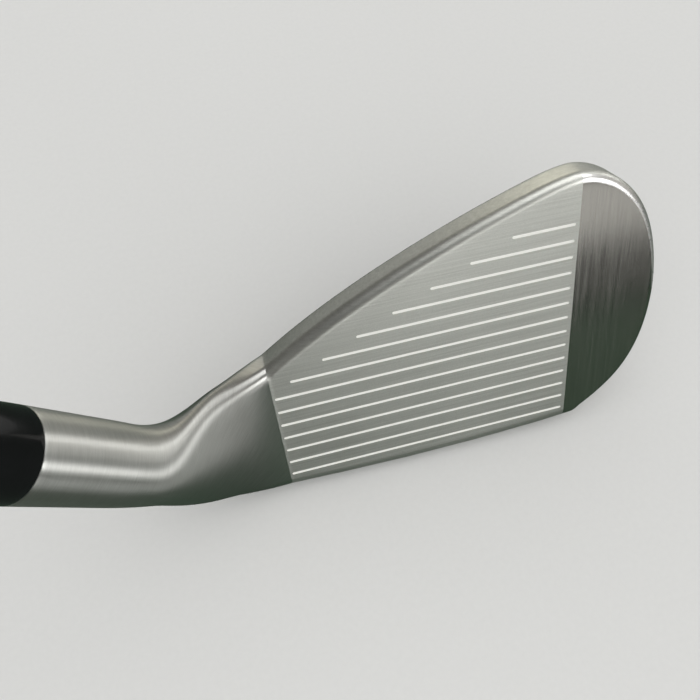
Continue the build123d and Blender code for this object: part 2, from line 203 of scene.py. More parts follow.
def lathe(name, profile, segments, materials, sharp=35.0, radius_of=None, slot_of=None):
    """A turned piece on the shaft's axis from its closed (radius, height) profile."""
    rows = len(profile)
    verts, uvs, slots = [], [], []
    for i, (r, h) in enumerate(profile):
        for j in range(segments):
            a = 2 * math.pi * j / segments
            radius = r if radius_of is None else radius_of(i, r, h, a)
            verts.append(tuple(at_shaft(radius, a, h)))
    faces, corners = [], []
    for i in range(rows):
        i2 = (i + 1) % rows
        for j in range(segments):
            k = (j + 1) % segments
            faces.append((i * segments + j, i2 * segments + j, i2 * segments + k, i * segments + k))
            for ii, jj in ((i, j), (i2, j), (i2, j + 1), (i, j + 1)):
                uvs.append((jj / segments, profile[ii % rows][1] / 100.0))
            if slot_of is not None:
                slots.append(slot_of(i, profile[i], profile[i2]))
    # Turn the faces outwards if the profile runs the other way round.
    area = sum(
        profile[i][0] * profile[(i + 1) % rows][1] - profile[(i + 1) % rows][0] * profile[i][1]
        for i in range(rows)
    )
    if area > 0:
        faces = [tuple(reversed(f)) for f in faces]
        uvs = [uvs[4 * q + c] for q in range(len(faces)) for c in (3, 2, 1, 0)]
    return make_object(name, verts, faces, uvs, slots or None, materials, sharp)


# ---------------------------------------------------------------- materials
class Tree:
    """A small helper that builds one node tree. Its place is the texture coordinate of this name."""

    def __init__(self, owner, place):
        owner.use_nodes = True
        self.tree = owner.node_tree
        self.place = self.add("ShaderNodeTexCoord").outputs[place]

    def add(self, kind, **values):
        node = self.tree.nodes.new(kind)
        for key, value in values.items():
            if hasattr(node, key) and key not in node.inputs:
                setattr(node, key, value)
            else:
                node.inputs[key].default_value = value
        return node

    def link(self, a, b):
        self.tree.links.new(a, b)

    def feed(self, value, socket):
        """Gives a socket its value: another node's output, a number or a colour."""
        if isinstance(value, bpy.types.NodeSocket):
            self.link(value, socket)
        else:
            socket.default_value = (*value, 1) if isinstance(value, tuple) else value

    def along(self, direction, scale=1.0):
        """The place along a direction, times a scale, as one number."""
        n = self.add("ShaderNodeVectorMath", operation="DOT_PRODUCT")
        self.link(self.place, n.inputs[0])
        n.inputs[1].default_value = tuple(Vector(direction) * scale)
        return n.outputs["Value"]

    def face_place(self, x, up, out):
        """The place in the face's own directions, with a scale for each."""
        return self.combine(self.along((1, 0, 0), x), self.along(FACE_UP, up), self.along(FACE_OUT, out))

    def shaft_place(self, up, aside):
        """The place in the shaft's own directions: one scale along it and one across it."""
        return self.combine(self.along(AXIS, up), self.along((0, 1, 0), aside), self.along(ACROSS, aside))

    def combine(self, x, y, z):
        n = self.add("ShaderNodeCombineXYZ")
        for socket, v in zip(n.inputs, (x, y, z)):
            self.feed(v, socket)
        return n.outputs[0]

    def math(self, op, a, b):
        n = self.add("ShaderNodeMath", operation=op)
        for socket, v in zip(n.inputs, (a, b)):
            self.feed(v, socket)
        return n.outputs[0]

    def blend(self, a, b, share):
        """Two numbers mixed, with this share of the first."""
        return self.math("ADD", self.math("MULTIPLY", a, share), self.math("MULTIPLY", b, 1 - share))

    def noise(self, vector, scale, detail=3.0, rough=0.55):
        n = self.add("ShaderNodeTexNoise", Scale=scale, Detail=detail, Roughness=rough)
        self.link(vector, n.inputs["Vector"])
        return n.outputs["Fac"]

    def ramp(self, value, stops):
        """A ramp from its (position, grey level or colour) stops."""
        n = self.add("ShaderNodeValToRGB")
        e = n.color_ramp.elements
        while len(e) < len(stops):
            e.new(0.5)
        for k, (p, c) in enumerate(stops):
            e[k].position = p
            e[k].color = (*c, 1) if isinstance(c, tuple) else (c, c, c, 1)
        self.link(value, n.inputs["Fac"])
        return n.outputs["Color"]

    def mix(self, value, a, b, kind="MIX"):
        """Two colours mixed by a value."""
        n = self.add("ShaderNodeMix", data_type="RGBA", blend_type=kind)
        self.feed(value, n.inputs["Factor"])
        for socket, v in zip([s for s in n.inputs if s.type == "RGBA"], (a, b)):
            self.feed(v, socket)
        return [s for s in n.outputs if s.type == "RGBA"][0]

    def range(self, value, low, high, to_low, to_high):
        n = self.add("ShaderNodeMapRange")
        self.link(value, n.inputs["Value"])
        for key, v in zip(("From Min", "From Max", "To Min", "To Max"), (low, high, to_low, to_high)):
            n.inputs[key].default_value = v
        return n.outputs["Result"]

    def spread(self, noise, to_low, to_high):
        """The range that most of a noise lies in, spread over another range."""
        return self.range(noise, 0.3, 0.7, to_low, to_high)

    def shine(self, color, shader, output):
        """Ends the tree in a shader that only gives out this colour."""
        n = self.add(shader)
        self.link(color, n.inputs["Color"])
        self.link(n.outputs[0], self.add(output).inputs["Surface"])


class Nodes(Tree):
    """One material's node tree, round its Principled BSDF."""

    def __init__(self, name):
        self.mat = bpy.data.materials.new(name)
        super().__init__(self.mat, "Object")
        self.bsdf = self.tree.nodes["Principled BSDF"]

    def set(self, **values):
        for key, value in values.items():
            self.bsdf.inputs[key.replace("_", " ")].default_value = value

    def bump(self, height, distance, strength=1.0, after=None):
        n = self.add("ShaderNodeBump", Strength=strength, Distance=distance)
        self.link(height, n.inputs["Height"])
        if after is not None:
            self.link(after, n.inputs["Normal"])
        return n.outputs["Normal"]

    def finish(self, color, rough, normal=None):
        for socket, key in ((color, "Base Color"), (rough, "Roughness"), (normal, "Normal")):
            if socket is not None:
                self.link(socket, self.bsdf.inputs[key])
        return self.mat


def satin_steel():
    """Nickel-satin steel with fine brush lines round the neck and the hosel."""
    m = Nodes("satin_steel")
    m.set(Metallic=1.0, Anisotropic=0.92, Anisotropic_Rotation=0.25)
    ring = m.shaft_place(1.0, 0.06)
    lines = m.noise(ring, 5200.0, 4.0, 0.6)
    cloud = m.noise(m.place, 60.0, 3.0)
    color = m.mix(m.spread(lines, 0.0, 1.0), (0.60, 0.60, 0.57), (0.70, 0.70, 0.67))
    neck = m.range(m.along((1, 0, 0), 1 / MM), NECK_WEST_X, HEEL_X, 0.0, 1.0)
    softer = m.ramp(neck, [(0.0, 0.0), (0.35, 0.14), (0.72, 0.20), (0.92, 0.04), (1.0, 0.0)])
    rough = m.math("ADD", m.spread(cloud, 0.40, 0.45), softer)
    tangent = m.add("ShaderNodeTangent", direction_type="UV_MAP", uv_map="UVMap")
    m.link(tangent.outputs[0], m.bsdf.inputs["Tangent"])
    return m.finish(color, rough, m.bump(lines, 0.000012, 0.6))


def face_steel():
    """The blasted hitting face: fine milling lines along the score lines and an even grain."""
    m = Nodes("face_steel")
    m.set(Metallic=1.0)
    line_place = m.face_place(0.012, 1.0, 0.4)
    mill = m.noise(line_place, 3600.0, 3.0, 0.6)
    grain = m.noise(m.place, 5200.0, 2.0, 0.7)
    cloud = m.noise(m.place, 38.0, 4.0)
    tone = m.blend(mill, grain, 0.55)
    color = m.mix(m.range(tone, 0.32, 0.68, 0.0, 1.0), (0.46, 0.465, 0.43), (0.62, 0.625, 0.585))
    rough = m.spread(cloud, 0.40, 0.47)
    normal = m.bump(grain, 0.00002, 0.5, m.bump(mill, 0.00002, 0.6))
    return m.finish(color, rough, normal)


def toe_steel():
    """The polished toe, with micro-brushing that runs up the face."""
    m = Nodes("toe_steel")
    m.set(Metallic=1.0, Anisotropic=0.2)
    line_place = m.face_place(1.0, 0.02, 0.3)
    lines = m.noise(line_place, 4200.0, 4.0, 0.65)
    broad = m.noise(line_place, 2400.0, 2.0)
    tone = m.blend(lines, broad, 0.5)
    color = m.mix(m.range(tone, 0.35, 0.65, 0.0, 1.0), (0.57, 0.555, 0.51), (0.69, 0.672, 0.62))
    rough = m.spread(broad, 0.12, 0.17)
    return m.finish(color, rough, m.bump(broad, 0.000003, 0.3))


def toe_rim_painted_highlight():
    """The rounding of the toe's upper edge, its colour painted bright as a highlight."""
    m = Nodes("toe_rim_painted_highlight")
    m.set(Metallic=0.9)
    grain = m.noise(m.place, 2400.0, 3.0)
    painted_highlight = m.mix(grain, (0.78, 0.77, 0.75), (0.88, 0.87, 0.85))
    # Painted highlight: the colour is painted dark below 20 mm up the face and painted bright above 34 mm.
    height = m.range(m.along(FACE_UP, 1 / MM), 20.0, 34.0, 0.0, 1.0)
    color = m.mix(height, (0.34, 0.34, 0.33), painted_highlight)
    return m.finish(color, m.spread(grain, 0.26, 0.34), m.bump(grain, 0.000008, 0.3))


def groove_painted_highlight():
    """The cut score lines, evenly near-white: a painted highlight standing in for the light their bare steel
    walls catch.
    """
    m = Nodes("groove_painted_highlight")
    line_place = m.face_place(0.05, 1.0, 1.0)
    lines = m.noise(line_place, 6000.0, 3.0)
    color = m.mix(lines, (0.90, 0.90, 0.86), (0.98, 0.98, 0.95))
    return m.finish(color, m.spread(lines, 0.30, 0.42), m.bump(lines, 0.00001, 0.3))


def back_steel():
    """The back and the sole: satin steel brushed from heel to toe, with faint handling marks."""
    m = Nodes("back_steel")
    m.set(Metallic=1.0)
    line_place = m.face_place(0.03, 1.0, 1.0)
    lines = m.noise(line_place, 4200.0, 4.0, 0.6)
    marks = m.noise(m.place, 420.0, 5.0, 0.7)
    color = m.mix(m.spread(lines, 0.0, 1.0), (0.55, 0.55, 0.53), (0.66, 0.66, 0.64))
    rough = m.math("ADD", m.spread(lines, 0.24, 0.31), m.range(marks, 0.62, 0.75, 0.0, 0.10))
    return m.finish(color, rough, m.bump(lines, 0.000012, 0.6))


def black_gloss():
    """Polished black ferrule plastic."""
    m = Nodes("black_gloss")
    m.set(Coat_Weight=0.15, Coat_Roughness=0.05, Specular_IOR_Level=0.3)
    ring = m.shaft_place(1.0, 0.03)
    lines = m.noise(ring, 2400.0, 3.0)
    cloud = m.noise(m.place, 160.0, 3.0)
    color = m.mix(cloud, (0.004, 0.004, 0.004), (0.010, 0.010, 0.011))
    return m.finish(color, m.spread(lines, 0.10, 0.17), m.bump(lines, 0.000006, 0.3))


def chrome():
    """Bright chrome plate on a stepped steel shaft, with faint drawing lines along it."""
    m = Nodes("shaft_chrome")
    m.set(Metallic=1.0)
    place = m.shaft_place(0.01, 1.0)
    lines = m.noise(place, 2600.0, 3.0)
    cloud = m.noise(m.place, 45.0, 4.0)
    color = m.mix(cloud, (0.74, 0.745, 0.75), (0.82, 0.825, 0.83))
    return m.finish(color, m.spread(lines, 0.06, 0.11), m.bump(lines, 0.000004, 0.3))


def rubber():
    """Moulded grip rubber: matt black with a fine grain and slightly greyer high spots."""
    m = Nodes("grip_rubber")
    m.set(Specular_IOR_Level=0.35)
    grain = m.noise(m.place, 3800.0, 3.0, 0.7)
    cloud = m.noise(m.place, 90.0, 4.0)
    tone = m.blend(grain, cloud, 0.5)
    color = m.mix(m.range(tone, 0.35, 0.65, 0.0, 1.0), (0.012, 0.012, 0.013), (0.032, 0.032, 0.033))
    return m.finish(color, m.spread(grain, 0.62, 0.82), m.bump(grain, 0.00006, 0.6))


def rubber_fill():
    """The paint in the ring groove of the grip's cap."""
    m = Nodes("grip_accent")
    grain = m.noise(m.place, 3800.0, 3.0, 0.7)
    color = m.mix(grain, (0.25, 0.25, 0.25), (0.40, 0.40, 0.39))
    return m.finish(color, m.spread(grain, 0.50, 0.65), m.bump(grain, 0.00004, 0.5))


def badge_metal():
    """Dark anodised badge, brushed from heel to toe."""
    m = Nodes("badge_metal")
    m.set(Metallic=1.0)
    place = m.face_place(0.02, 1.0, 1.0)
    lines = m.noise(place, 5200.0, 4.0, 0.6)
    color = m.mix(m.spread(lines, 0.0, 1.0), (0.10, 0.105, 0.115), (0.17, 0.175, 0.19))
    return m.finish(color, m.spread(lines, 0.28, 0.38), m.bump(lines, 0.00001, 0.5))


def dark_metal():
    """The dense dark alloy of the weights, turned to a fine finish."""
    m = Nodes("weight_metal")
    m.set(Metallic=1.0)
    swirl = m.noise(m.place, 1800.0, 5.0, 0.7)
    cloud = m.noise(m.place, 300.0, 3.0)
    color = m.mix(cloud, (0.28, 0.28, 0.29), (0.40, 0.40, 0.41))
    return m.finish(color, m.spread(swirl, 0.24, 0.38), m.bump(swirl, 0.00001, 0.4))


def adhesive():
    """Cured adhesive: slightly amber and uneven."""
    m = Nodes("adhesive")
    cloud = m.noise(m.place, 500.0, 4.0)
    color = m.mix(cloud, (0.42, 0.36, 0.22), (0.58, 0.53, 0.38))
    return m.finish(color, m.spread(cloud, 0.35, 0.5), m.bump(cloud, 0.00003, 0.5))


def crepe_tape():
    """Crepe paper tape with fine cross ridges."""
    m = Nodes("crepe_tape")
    ring = m.shaft_place(1.0, 0.15)
    ridges = m.noise(ring, 1800.0, 3.0)
    color = m.mix(ridges, (0.60, 0.52, 0.36), (0.78, 0.70, 0.52))
    return m.finish(color, m.spread(ridges, 0.75, 0.9), m.bump(ridges, 0.00008, 0.7))


def label_film():
    """A generic shaft band: dark blue film with two pale rings and a fine printed texture."""
    m = Nodes("label_film")
    m.set(Coat_Weight=0.6, Coat_Roughness=0.08)
    up_band = m.range(m.along(AXIS, 1 / MM), BAND_LOW, BAND_LOW + BAND_LENGTH, 0.0, 1.0)
    stripes = m.ramp(up_band, [(0.0, 0.0), (0.10, 0.0), (0.101, 1.0), (0.15, 1.0), (0.151, 0.0), (0.85, 0.0),
                               (0.851, 1.0), (0.90, 1.0), (0.901, 0.0)])
    grain = m.noise(m.place, 2600.0, 2.0)
    blue = m.mix(grain, (0.012, 0.026, 0.06), (0.02, 0.04, 0.085))
    color = m.mix(stripes, blue, (0.62, 0.63, 0.64))
    return m.finish(color, m.spread(grain, 0.22, 0.32), m.bump(grain, 0.000008, 0.3))


SATIN, FACE, TOE, BACK, GROOVE_PAINTED_HIGHLIGHT = satin_steel(), face_steel(), toe_steel(), back_steel(), groove_painted_highlight()
GLOSS, CHROME, RUBBER, ACCENT = black_gloss(), chrome(), rubber(), rubber_fill()
BADGE, DENSE, GLUE, TAPE, FILM = badge_metal(), dark_metal(), adhesive(), crepe_tape(), label_film()
# The toe rim's material paints a highlight into its colour.
RIM_PAINTED_HIGHLIGHT = toe_rim_painted_highlight()

# ---------------------------------------------------------------- the head's sections
EDGE_POINTS, LEAD_POINTS = 260, 40
HEEL_WAY = (0.83, 0.56)  # the top line's direction at the heel
top_edge = clamped_spline(TOP_LINE, HEEL_WAY, (1, 0.05), EDGE_POINTS)
toe_edge = clamped_spline(TOE_CURVE, (1, -0.05), (-0.86, -0.5), 2 * EDGE_POINTS)
# The outline runs on past the heel, so that the first sections find an edge on both sides.
before_heel = top_edge[0] - np.outer(np.linspace(14, 0.2, LEAD_POINTS), np.array(HEEL_WAY))
OUTLINE = np.concatenate([before_heel, top_edge[:-1], toe_edge])
# The radius of the rounding along the outline: wide at the heel, tight round the toe.
ROUND = np.interp(
    np.arange(len(OUTLINE)),
    [0] + [LEAD_POINTS + EDGE_POINTS * part for part in (0, 0.5, 1, 1.6)] + [len(OUTLINE)],
    [2.1, 2.1, 2.0, 1.8, 1.35, 0.8],
)
UNDERSIDE = clamped_spline(TOE_UNDERSIDE, (1, 0.32), (0, 1), 200)
tip_index = toe_edge[:, 0].argmax()
TOE_TIP = float(toe_edge[tip_index, 0])
upper_toe = toe_edge[: tip_index + 1]
lower_toe = toe_edge[tip_index:][::-1]
UPPER_EDGE = np.concatenate([top_edge, upper_toe[1:]])
EDGE_REACH = 12.0  # only this much of the outline to each side is searched


def edge_distance(x, v):
    """The distance from points on the face plane to the blade's outline, and the rounding there."""
    near = np.abs(OUTLINE[:, 0] - x) < EDGE_REACH
    edge, rounding = OUTLINE[near], ROUND[near]
    a, b = edge[:-1], edge[1:]
    ab = b - a
    p = np.stack([np.full(len(v), x), v], 1)
    t = np.clip(((p[:, None] - a) * ab).sum(2) / (ab**2).sum(1), 0, 1)
    q = a + t[:, :, None] * ab
    dist = np.hypot(*(p[:, None] - q).transpose(2, 0, 1))
    k = dist.argmin(1)
    return dist[np.arange(len(v)), k], rounding[k]


def side_to_face(points):
    """(y, z) points as (up the face, behind the face)."""
    y, z = points[:, 0] - FOOT_Y, points[:, 1] - FOOT_Z
    return np.stack([y * SIN_L + z * COS_L, y * COS_L - z * SIN_L], 1)


# The leading edge is an arc round the foot of the face, and the sole is a wider arc behind it, as (y, z).
lead = (FOOT_Y + 1.2 * SIN_L, FOOT_Z + 1.2 * COS_L)
under = (FOOT_Y + 1.3, FOOT_Z - 1.15)
sole_points = np.concatenate(
    [
        arc3(lead, (FOOT_Y + 0.2, FOOT_Z - 0.3), under, 30)[:-1],
        arc3(under, (4.6, 0.0), (16.0, 3.0), 80),
    ]
)
SOLE = side_to_face(sole_points)
# The back, as its depth b behind the face for each height v up the face, with its corners smoothed.
BACK_V = np.array([-5.0, 11.2, 11.7, 12.6, 13.4, 17.4, 18.2, 21.4, 22.4, 70.0])
BACK_B = np.array([15.2, 15.3, 15.75, 15.9, 15.4, 9.3, 8.3, 6.2, 6.0, 6.0])
BACK_V_FINE = np.linspace(-5, 70, 1501)
SMOOTHING = np.hanning(17)
back_padded = np.pad(np.interp(BACK_V_FINE, BACK_V, BACK_B), len(SMOOTHING) // 2, mode="edge")
BACK_B_FINE = np.convolve(back_padded, SMOOTHING / SMOOTHING.sum(), "valid")


def rocker(x):
    """How far the sole rises towards the heel and the toe."""
    return np.interp(x, [HEEL_X, 16, 30, 45, 58, SOLE_END_X], [1.0, 0.45, 0.0, 0.15, 0.75, 1.5])


def bottom(x, b, v_low):
    """The blade's lower surface, as v up the face for a depth b behind it."""
    v = np.interp(b, SOLE[:, 1], SOLE[:, 0]) + rocker(x) * COS_L
    if x > 62:
        z_under = np.interp(x, UNDERSIDE[:, 0], UNDERSIDE[:, 1])
        if x < SOLE_END_X:
            z_under = UNDERSIDE[0, 1] - (SOLE_END_X - x) * 0.33
        v = soft_max(v, (z_under - FOOT_Z + b * SIN_L) / COS_L, 0.5)
    if x > SOLE_END_X:
        v = np.maximum(v, v_low)
    return v


# How many of a section's points lie on the front, top, back and sole, and on the front's rounding.
FRONT_N, TOP_N, BACK_N, SOLE_N = 84, 7, 46, 44
RIM_N = 22
RIM_START, RIM_MIDDLE, BACK_START = FRONT_N - RIM_N, FRONT_N - RIM_N // 2, FRONT_N + TOP_N
BACK_ROUND = 0.6  # the radius of the back's edge
DEEPEST = 17.0  # no section is deeper than this


def blade_section(x):
    """One closed section of the blade at this x, as (v, b) points from the front's foot upwards."""
    top_line = top_edge if x <= TOP_END_X else upper_toe
    v_top = float(np.interp(x, top_line[:, 0], top_line[:, 1]))
    v_low = float(np.interp(x, lower_toe[:, 0], lower_toe[:, 1]))
    back_b = float(np.interp(v_top, BACK_V_FINE, BACK_B_FINE))
    # The depth where the back meets the lower surface.
    depth = np.linspace(back_b * 0.5, DEEPEST, 800)
    lower = bottom(x, depth, v_low)
    back_at = np.interp(np.minimum(lower, v_top), BACK_V_FINE, BACK_B_FINE)
    hit = np.argmax(depth >= back_at)
    b_back = float(depth[hit]) if depth[hit] >= back_at[hit] else 15.3
    v_back = min(float(lower[hit]), v_top)
    v_foot = min(float(bottom(x, np.array([0.0]), v_low)[0]), v_top)

    # The front is flat with points that crowd downwards, then turns back through its rounding.
    r_edge = float(edge_distance(x, np.array([v_top - 1e-4]))[1][0])
    ends = [x - 0.1, min(x + 0.1, TOE_TIP)]
    slope = float(np.diff(np.interp(ends, UPPER_EDGE[:, 0], UPPER_EDGE[:, 1]))[0]) / 0.2
    reach = min(r_edge * math.hypot(1, slope), 0.45 * (v_top - v_foot))
    flat = (v_top - reach - v_foot) * np.linspace(0, 1, RIM_START, endpoint=False) ** 1.25 + v_foot
    turn = np.linspace(0, math.radians(84), RIM_N)
    v = np.concatenate([flat, v_top - reach * (1 - np.sin(turn))])
    d, r = edge_distance(x, v)
    inner = np.clip(1 - d / r, 0, 1)
    b_front = r * (1 - np.sqrt(np.maximum(1 - inner**2, 0)))
    front = np.stack([v, b_front], 1)
    top = np.stack([np.full(TOP_N, v_top), np.linspace(r_edge, back_b - BACK_ROUND, TOP_N)], 1)

    # The back's points crowd towards the top, where its edge is rounded.
    s = np.linspace(0, 1, BACK_N + 1)[3:-1]
    s = np.concatenate([[0.004, 0.012, 0.03], s * 0.97 + 0.03 * s**2])
    v = v_top + (v_back - v_top) * s
    d, _ = edge_distance(x, v)
    inner = np.clip(1 - d / BACK_ROUND, 0, 1)
    b = np.interp(v, BACK_V_FINE, BACK_B_FINE) - BACK_ROUND * (1 - np.sqrt(np.maximum(1 - inner**2, 0)))
    back = np.stack([v, b], 1)

    s = np.linspace(0, 1, SOLE_N + 1)[1:]
    b = b_back + (float(b_front[0]) - b_back) * s**0.8
    sole = np.stack([np.minimum(bottom(x, b, v_low), v_top), b], 1)[:-1]
    return np.concatenate([front, top, back, sole])


def to_world(x, loop):
    """Section points (v, b) at this x as world points."""
    v, b = loop[:, 0], loop[:, 1]
    return np.stack([np.full(len(v), x), FOOT_Y + v * SIN_L + b * COS_L, FOOT_Z + v * COS_L - b * SIN_L], 1)


# The neck's twelve section points, as (y, distance from the pivot line), at four angles of the bend.
# The last section is the hosel's circle.
CIRCLE_START, CIRCLE_STEP = 218, 30
BEND = 62.0
NECK_KEYS = [
    (0.0, [(-2.0, -49.7), (1.0, -44.9), (5.0, -38.0), (9.7, -31.6), (13.0, -27.3), (17.1, -29.9),
           (14.3, -33.8), (13.3, -39.6), (15.4, -44.8), (16.1, -48.7), (9.0, -50.8), (1.1, -50.7)]),
    (20.0, [(-3.7, -46.6), (-3.4, -41.5), (-0.6, -35.8), (4.0, -30.6), (8.4, -26.9), (12.0, -27.6),
            (12.2, -32.0), (11.3, -36.5), (11.6, -41.0), (11.0, -45.4), (6.0, -48.0), (0.2, -48.3)]),
    (41.0, [(-4.4, -37.2), (-5.8, -33.0), (-5.0, -29.0), (-2.2, -26.2), (1.4, -24.9), (4.6, -25.6),
            (6.6, -28.3), (7.2, -31.7), (6.7, -35.0), (4.7, -37.9), (1.4, -39.1), (-1.9, -38.9)]),
    (BEND, [(HOSEL_RADIUS * math.cos(math.radians(CIRCLE_START - CIRCLE_STEP * i)),
             HOSEL_RADIUS * math.sin(math.radians(CIRCLE_START - CIRCLE_STEP * i)) - HOSEL_REACH)
            for i in range(12)]),
]


def neck_points(angle):
    """The neck's twelve section points at this angle, by a smooth passage through the keys."""
    k = 0
    while k < len(NECK_KEYS) - 2 and angle > NECK_KEYS[k + 1][0]:
        k += 1
    (a0, p0), (a1, p1) = NECK_KEYS[k], NECK_KEYS[k + 1]
    p0, p1 = np.array(p0), np.array(p1)

    def slope(key):
        if key == len(NECK_KEYS) - 1:
            return 0.0
        low = max(key - 1, 0)
        rise = np.array(NECK_KEYS[key + 1][1]) - np.array(NECK_KEYS[low][1])
        return rise / (NECK_KEYS[key + 1][0] - NECK_KEYS[low][0])

    run = a1 - a0
    t = (angle - a0) / run
    return (
        p0
        + (p1 - p0) * t * t * (3 - 2 * t)
        + slope(k) * run * t * (1 - t) ** 2
        - slope(k + 1) * run * t * t * (1 - t)
    )


heel_loop = to_world(HEEL_X, blade_section(HEEL_X))
heel_flat = np.stack([heel_loop[:, 1], heel_loop[:, 2] - PIVOT_Z], 1)


def match_index(loop):
    """The twelve-point index that goes with each point of the blade's loop."""
    marks = [0, RIM_MIDDLE, BACK_START, BACK_START + BACK_N - 2, len(loop)]
    values = [0.0, 4.0, 5.0, 9.0, 12.0]
    closed = np.concatenate([loop, loop[:1]])
    length = np.concatenate([[0], np.cumsum(np.linalg.norm(np.diff(closed, axis=0), axis=1))])
    index = np.zeros(len(loop))
    for a, b, va, vb in zip(marks, marks[1:], values, values[1:]):
        part = length[a:b]
        index[a:b] = va + (vb - va) * (part - length[a]) / (length[b] - length[a])
    return index


INDEX = match_index(heel_flat)
# The blade's own detail that the twelve points don't hold fades out over the first part of the bend.
DETAIL_FADE = 20.0
detail = heel_flat - closed_spline(NECK_KEYS[0][1], INDEX)


def neck_world(angle):
    """One ring of the neck at this angle, in world points."""
    ring = closed_spline(neck_points(angle), INDEX) + detail * (1 - ease(angle / DETAIL_FADE))
    turn = math.radians(angle)
    out = np.zeros((len(ring), 3))
    out[:, 0] = HEEL_X + ring[:, 1] * math.sin(turn)
    out[:, 1] = ring[:, 0]
    out[:, 2] = PIVOT_Z + ring[:, 1] * math.cos(turn)
    return out


def hosel_ring(radius, along):
    """One ring of the hosel, with its points where the neck's last ring has them."""
    a = np.radians(CIRCLE_START - CIRCLE_STEP * INDEX)
    side = np.array([(math.cos(t), math.sin(t)) for t in a])
    out = np.outer(np.full(len(a), along), np.array(AXIS))
    out[:, 1] += radius * side[:, 0]
    out += np.outer(radius * side[:, 1], np.array(ACROSS))
    return out


# The head's rings run from inside the bore, over the hosel's end, down the hosel and the neck, to the toe.
rows = [
    hosel_ring(BORE_RADIUS, HOSEL_TOP - 20),
    hosel_ring(BORE_RADIUS, HOSEL_TOP),
    hosel_ring(HOSEL_RADIUS - 0.3, HOSEL_TOP),
    hosel_ring(HOSEL_RADIUS - 0.06, HOSEL_TOP - 0.1),
    hosel_ring(HOSEL_RADIUS, HOSEL_TOP - 0.35),
]
for along in np.linspace(HOSEL_TOP - 0.8, NECK_TOP + 1.2, 14):
    rows.append(hosel_ring(HOSEL_RADIUS, along))
for angle in np.linspace(BEND, 0.9, 74):
    rows.append(neck_world(float(angle)))
neck_rows = len(rows)
blade_x = [HEEL_X, *np.linspace(6.3, 63.6, 66), TOE_LINE_X]
toe_row = neck_rows + len(blade_x) - 1
toe_step = np.linspace(0, 1, 58)[1:]
blade_x += list(TOE_LINE_X + (TOE_TIP - 0.004 - TOE_LINE_X) * np.sin(toe_step * math.pi / 2))
for x in blade_x:
    rows.append(to_world(x, blade_section(float(x))))
rows = np.array(rows)
ring_count, point_count = rows.shape[:2]
faces, corners = grid_faces(ring_count, point_count)
steps = np.linalg.norm(np.diff(rows[:, FRONT_N // 2], axis=0), axis=1)
length_along = np.concatenate([[0], np.cumsum(steps)])
ring_at = np.linspace(0, 1, point_count + 1)
# The head's materials and their slots. The cuts bring the score lines' material, whose near-white colour is a
# painted highlight.
HEAD_MATERIALS = (SATIN, FACE, TOE, BACK, GROOVE_PAINTED_HIGHLIGHT, RIM_PAINTED_HIGHLIGHT)
IN_SATIN, IN_FACE, IN_TOE, IN_BACK, IN_RIM_PAINTED_HIGHLIGHT = 0, 1, 2, 3, 5
LEADING_POINTS = 12  # the last points of a section lie on the leading edge
uvs, slots = [], []
for face_corners in corners:
    for i, j in face_corners:
        uvs.append((ring_at[j], length_along[i] / 60.0))
    i, j = face_corners[0]
    front = j < BACK_START - 1 or j >= point_count - LEADING_POINTS
    if i < neck_rows:
        slots.append(IN_SATIN)
    elif i < toe_row:
        slots.append(IN_FACE if front else IN_BACK)
    elif RIM_MIDDLE <= j < BACK_START - 1:
        slots.append(IN_FACE)
    # The front half of the toe's rounding takes the material with the painted highlight.
    elif RIM_START <= j < RIM_MIDDLE:
        slots.append(IN_RIM_PAINTED_HIGHLIGHT)
    else:
        slots.append(IN_TOE if front else IN_BACK)
verts = rows.reshape(-1, 3)
# Close the bore's end and the toe's tip.
faces.append(tuple(range(point_count)))
faces.append(tuple(reversed(range((ring_count - 1) * point_count, ring_count * point_count))))
uvs += [(0.5, 0.5)] * (2 * point_count)
slots += [IN_SATIN, IN_BACK]
head = make_object("iron_head", verts, faces, uvs, slots, HEAD_MATERIALS, 34.0)


# ---------------------------------------------------------------- cuts in the head
def on_face(x, v, b):
    """A world point from its place on the face plane and its depth behind it."""
    return (x, FOOT_Y + v * SIN_L + b * COS_L, FOOT_Z + v * COS_L - b * SIN_L)


def stack_rings(rings):
    """A closed solid from rings of points: quads between them and a face at each end."""
    n = len(rings[0])
    verts = [p for ring in rings for p in ring]
    quads, _ = grid_faces(len(rings), n)
    quads.append(tuple(reversed(range(n))))
    quads.append(tuple(range((len(rings) - 1) * n, len(rings) * n)))
    return verts, quads


def slot_ring(x0, x1, v, half, b):
    """A round-ended slot at this depth on the face."""
    a = np.linspace(-math.pi / 2, math.pi / 2, 9)
    right = [(x1 + 0.1 + half * math.cos(t), v + half * math.sin(t)) for t in a]
    left = [(x0 + 0.38 - half * math.cos(t), v - half * math.sin(t)) for t in a]
    return [on_face(x, w, b) for x, w in right + left]


def offset_loop(loop, distance):
    """A closed loop of points moved sideways, outwards for a positive distance."""
    p = np.array(loop)
    t = np.roll(p, -1, 0) - np.roll(p, 1, 0)
    t /= np.linalg.norm(t, axis=1)[:, None]
    n = np.stack([t[:, 1], -t[:, 0]], 1)
    area = 0.5 * np.sum(p[:, 0] * np.roll(p[:, 1], -1) - np.roll(p[:, 0], -1) * p[:, 1])
    return p + n * distance * (1 if area > 0 else -1)


